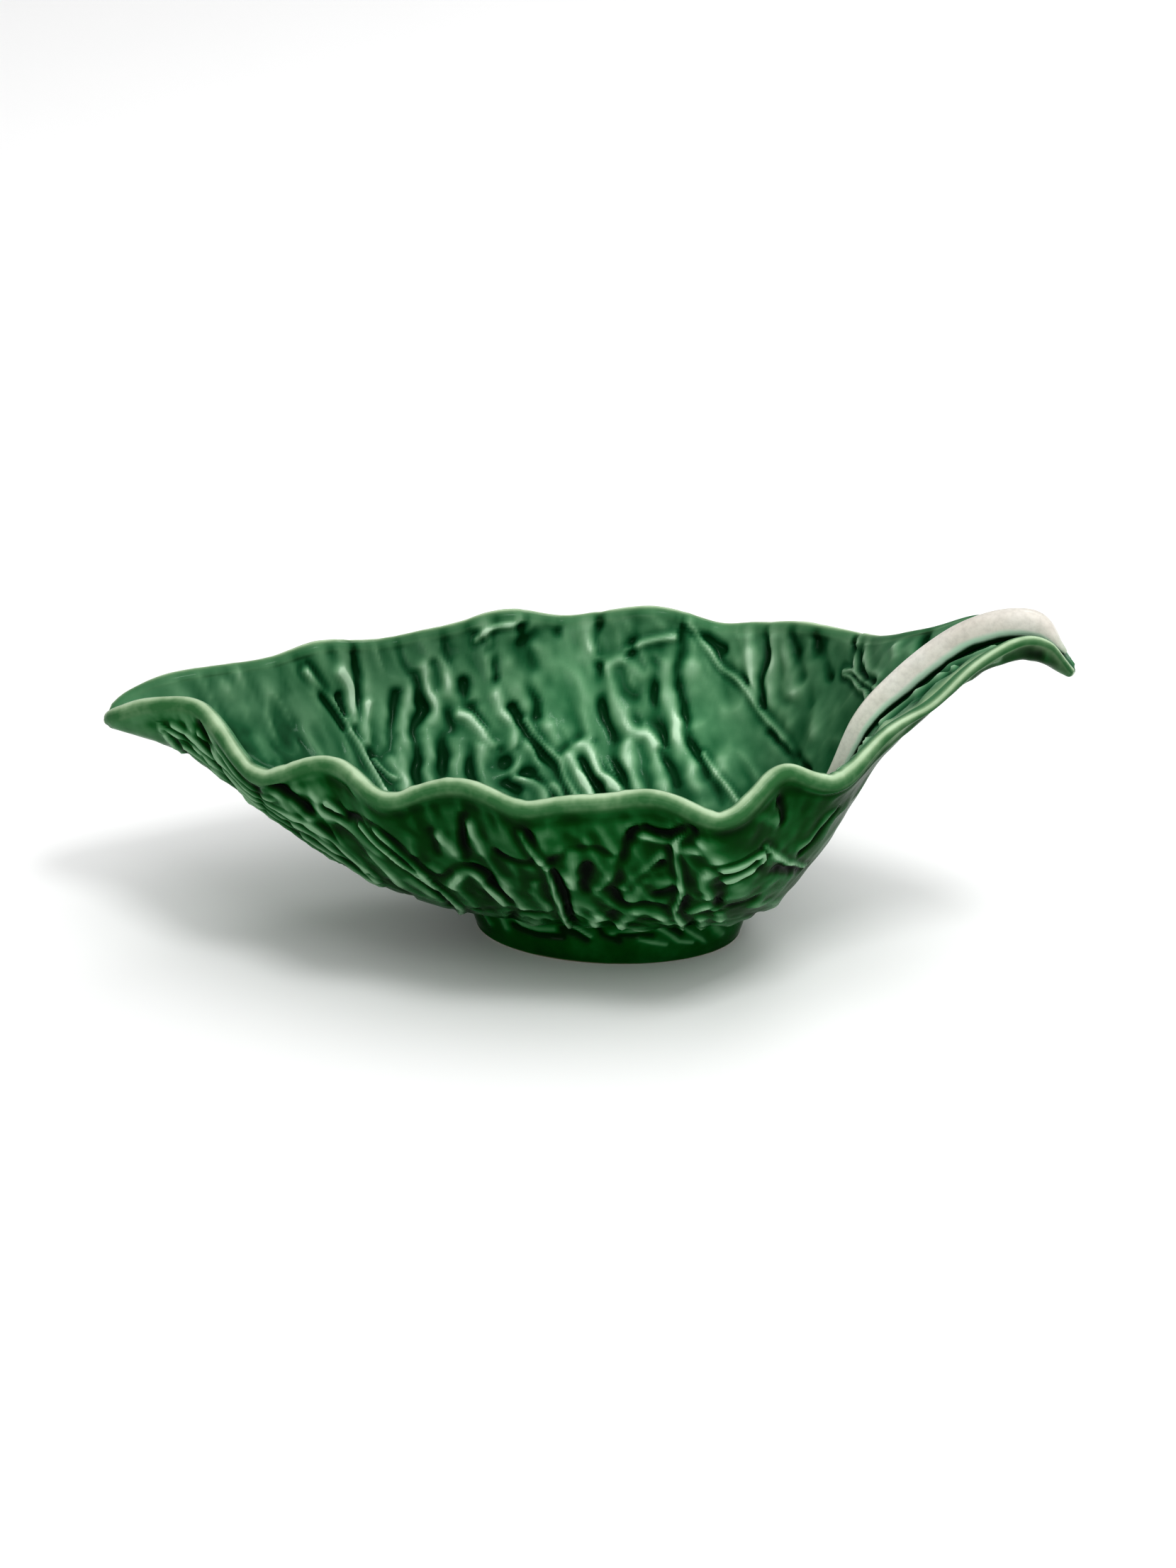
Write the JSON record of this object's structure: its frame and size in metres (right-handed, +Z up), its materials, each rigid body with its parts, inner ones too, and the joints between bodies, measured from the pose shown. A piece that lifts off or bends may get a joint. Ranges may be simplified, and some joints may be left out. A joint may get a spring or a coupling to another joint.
{
  "type": "sauce boat",
  "caption": "Leaf-shaped sauce boat with a wavy rim, a pointed pouring tip, a stalk bent over as the handle and a low oval foot ring.",
  "frame": {"origin": "middle of the whole boat's plan, on the plane the foot ring stands on", "axes": "+X from the pouring tip to the handle, +Z up, Y across the bowl"},
  "size_m": [0.2396, 0.1244, 0.0899],
  "materials": {
    "leaf_glaze": "gloss",
    "stalk_glaze": "gloss",
    "foot_glaze": "gloss"
  },
  "bodies": {
    "root": {"leaf_bowl": "leaf_glaze", "stalk": "stalk_glaze", "foot_ring": "foot_glaze"}
  },
  "joints": []
}
